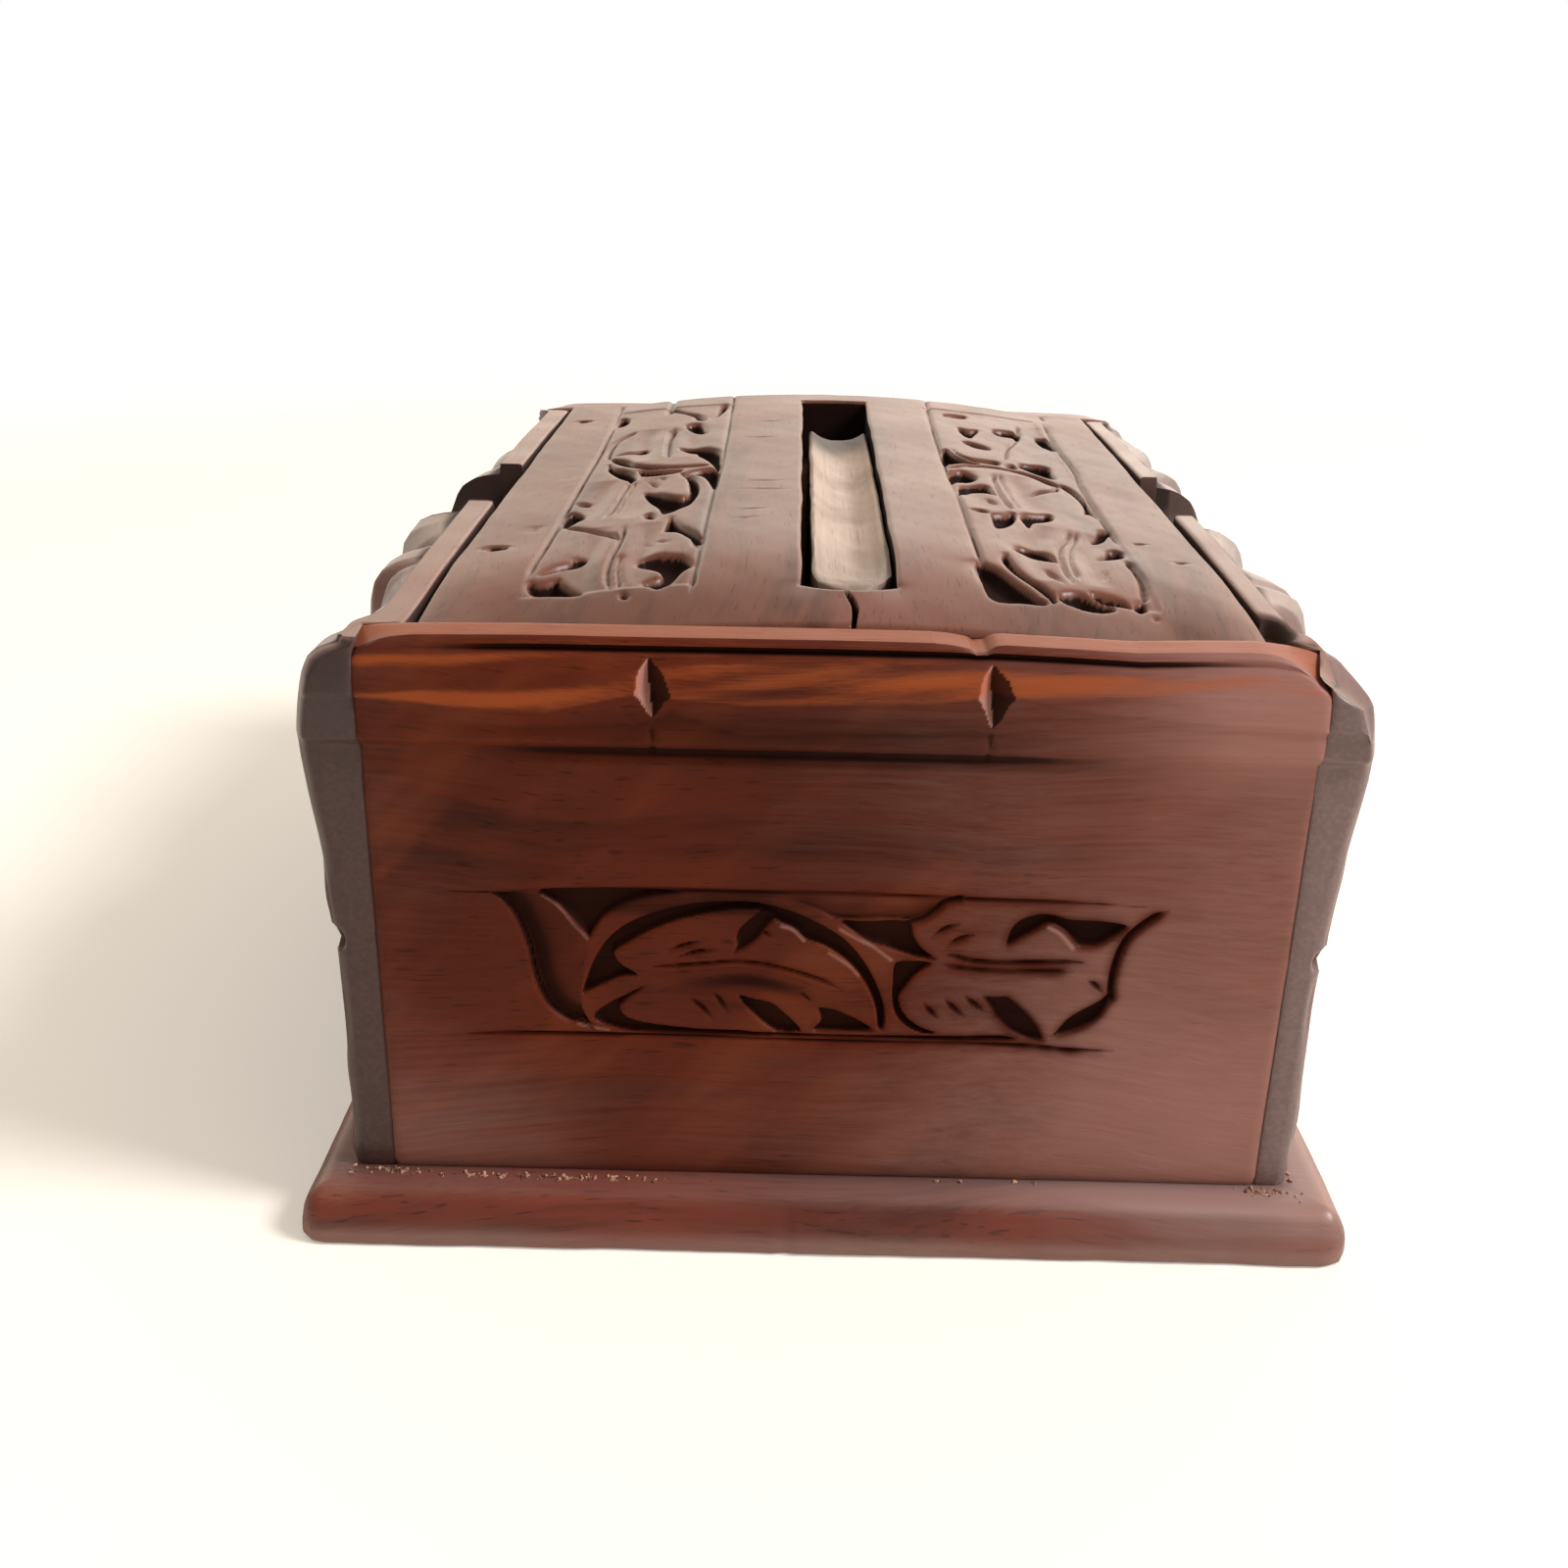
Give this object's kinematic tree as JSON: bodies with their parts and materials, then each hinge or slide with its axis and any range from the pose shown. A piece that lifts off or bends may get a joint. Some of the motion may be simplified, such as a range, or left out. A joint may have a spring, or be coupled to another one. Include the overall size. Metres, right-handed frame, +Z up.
{
  "type": "lift-up stick dispenser box",
  "caption": "Carved wooden box: a slotted, domed inner box slides up out of a moulded case and pushes down over a grooved upright bar, which offers one stick through the slot.",
  "frame": {"origin": "centre of the base plate's underside", "axes": "+Z up, the front wall towards -Y, +X to the right seen from the front"},
  "size_m": [0.1116, 0.1436, 0.0692],
  "materials": {
    "base_walnut": "varnished walnut, worn at the edges",
    "wall_walnut": "glossy reddish walnut, hand carved",
    "lid_walnut": "glossy aged walnut, hand carved",
    "inner_wood": "plain planed wood, unvarnished",
    "bare_wood": "bare wood, rubbed smooth in use",
    "nail_steel": "dull dark steel"
  },
  "bodies": {
    "case": {"base_plate": "base_walnut", "front_wall": "wall_walnut", "back_wall": "wall_walnut", "left_wall": "wall_walnut", "right_wall": "wall_walnut", "lifter_bar": "bare_wood", "base_nails": "nail_steel"},
    "inner_box": {"lid_panel": "lid_walnut", "inner_front": "inner_wood", "inner_back": "inner_wood", "inner_left": "inner_wood", "inner_right": "inner_wood", "left_ramp": "inner_wood", "right_ramp": "inner_wood", "lid_nails": "nail_steel", "box_nails": "nail_steel"}
  },
  "joints": [
    {"name": "box_lift", "type": "slide", "parent": "case", "child": "inner_box", "axis": [0, 0, 1], "range_m": [0, 0.04]}
  ]
}
